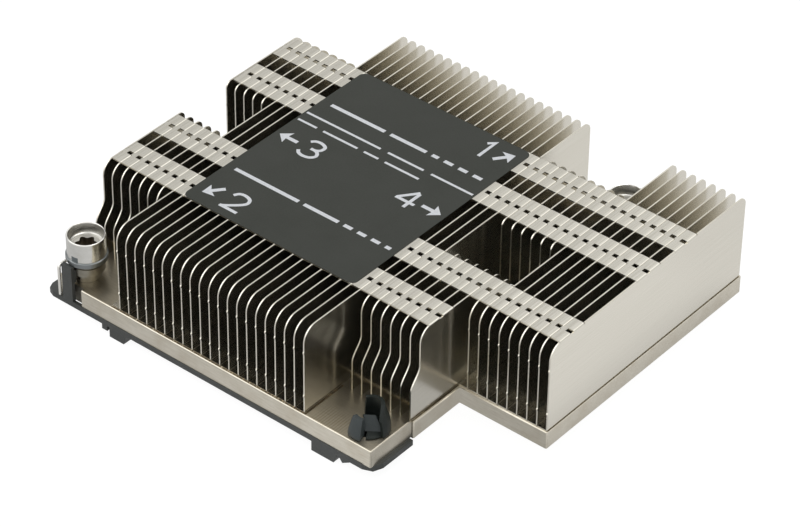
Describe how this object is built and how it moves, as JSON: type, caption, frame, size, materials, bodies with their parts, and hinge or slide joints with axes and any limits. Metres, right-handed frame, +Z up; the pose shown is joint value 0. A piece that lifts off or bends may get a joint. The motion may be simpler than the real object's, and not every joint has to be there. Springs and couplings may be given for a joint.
{
  "type": "passive server processor heatsink",
  "caption": "Low passive processor heatsink: plated base plate with a side wing, interlocked folded fins, captive sprung nuts, a plastic carrier clip and a label",
  "frame": {"origin": "middle of the contact pad's face on the underside", "axes": "+Z up towards the fins, +X towards the wing, -Y towards the end with the carrier's arm on the left"},
  "size_m": [0.1112, 0.0932, 0.029],
  "materials": {
    "fin_aluminium": "bright plated sheet",
    "base_metal": "nickel-plated copper, fine machined lines",
    "nut_steel": "turned and plated",
    "spring_steel": "drawn wire",
    "carrier_plastic": "fine moulded texture",
    "label_film": "matt film"
  },
  "bodies": {
    "root": {"fin_01": "fin_aluminium", "fin_02": "fin_aluminium", "fin_03": "fin_aluminium", "fin_04": "fin_aluminium", "fin_05": "fin_aluminium", "fin_06": "fin_aluminium", "fin_07": "fin_aluminium", "fin_08": "fin_aluminium", "fin_09": "fin_aluminium", "fin_10": "fin_aluminium", "fin_11": "fin_aluminium", "fin_12": "fin_aluminium", "fin_13": "fin_aluminium", "fin_14": "fin_aluminium", "fin_15": "fin_aluminium", "fin_16": "fin_aluminium", "fin_17": "fin_aluminium", "fin_18": "fin_aluminium", "fin_19": "fin_aluminium", "fin_20": "fin_aluminium", "fin_21": "fin_aluminium", "fin_22": "fin_aluminium", "fin_23": "fin_aluminium", "fin_24": "fin_aluminium", "fin_25": "fin_aluminium", "fin_26": "fin_aluminium", "fin_27": "fin_aluminium", "fin_28": "fin_aluminium", "fin_29": "fin_aluminium", "fin_30": "fin_aluminium", "fin_31": "fin_aluminium", "fin_32": "fin_aluminium", "fin_33": "fin_aluminium", "fin_34": "fin_aluminium", "fin_35": "fin_aluminium", "fin_36": "fin_aluminium", "fin_37": "fin_aluminium", "fin_38": "fin_aluminium", "fin_39": "fin_aluminium", "fin_40": "fin_aluminium", "fin_41": "fin_aluminium", "fin_42": "fin_aluminium", "fin_43": "fin_aluminium", "fin_44": "fin_aluminium", "base_plate": "base_metal", "captive_nuts": "nut_steel", "nut_springs": "spring_steel", "nut_retaining_rings": "spring_steel", "carrier_clip": "carrier_plastic", "wire_clips": "spring_steel", "top_label": "label_film"}
  },
  "joints": []
}
